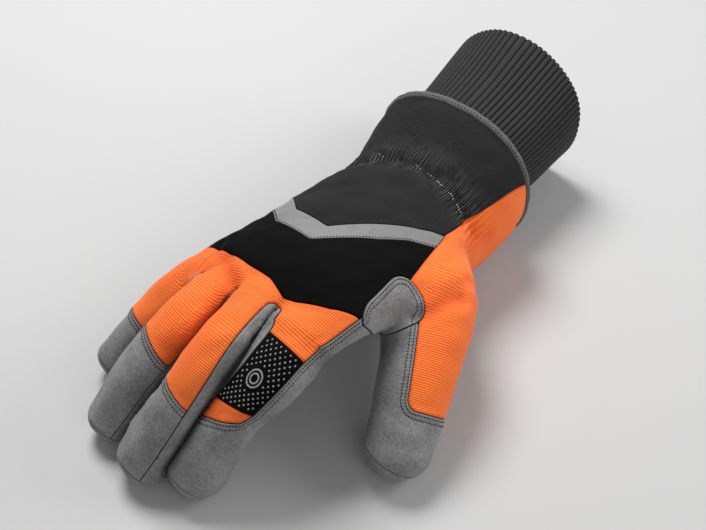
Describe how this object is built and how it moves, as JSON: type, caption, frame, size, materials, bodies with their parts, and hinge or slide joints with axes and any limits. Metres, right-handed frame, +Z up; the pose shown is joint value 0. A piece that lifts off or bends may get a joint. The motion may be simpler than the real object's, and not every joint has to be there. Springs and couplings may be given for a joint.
{
  "type": "winter work glove",
  "caption": "Right-hand padded winter work glove, filled as if worn, with a ribbed knit cuff, panelled back, fingertip caps and a touch patch.",
  "frame": {"origin": "on the surface that the glove rests on, under the middle of its box", "axes": "+Z up from the resting surface, +Y from the fingers to the ribbed cuff, +X to the thumb side; the back of the hand faces up"},
  "size_m": [0.1744, 0.3104, 0.0893],
  "materials": {
    "rib_knit": "dark grey ribbed knit",
    "binding_tape": "grey woven tape",
    "grey_suede": "matt grey synthetic suede",
    "black_fabric": "matt black",
    "orange_fabric": "fine cross-ribbed high-visibility orange",
    "reflective_tape": "silver-grey reflective tape",
    "charcoal_knit": "fine-ribbed charcoal stretch knit"
  },
  "bodies": {
    "root": {"rib_cuff": "rib_knit", "hem_binding": "binding_tape", "thumb_saddle": "grey_suede", "fourchette_index_middle": "grey_suede", "fourchette_middle_ring": "grey_suede", "fourchette_ring_pinky": "grey_suede", "index_side_and_tip": "grey_suede", "touch_patch": "black_fabric", "index_back_tip": "orange_fabric", "tip_cap_middle": "grey_suede", "tip_cap_ring": "grey_suede", "tip_cap_pinky": "grey_suede", "thumb_back_panel": "orange_fabric", "thumb_front": "grey_suede", "finger_back_panel": "orange_fabric", "black_panel": "black_fabric", "reflective_stripe": "reflective_tape", "back_knit": "charcoal_knit", "wrist_underside": "charcoal_knit", "palm_suede": "grey_suede"}
  },
  "joints": []
}
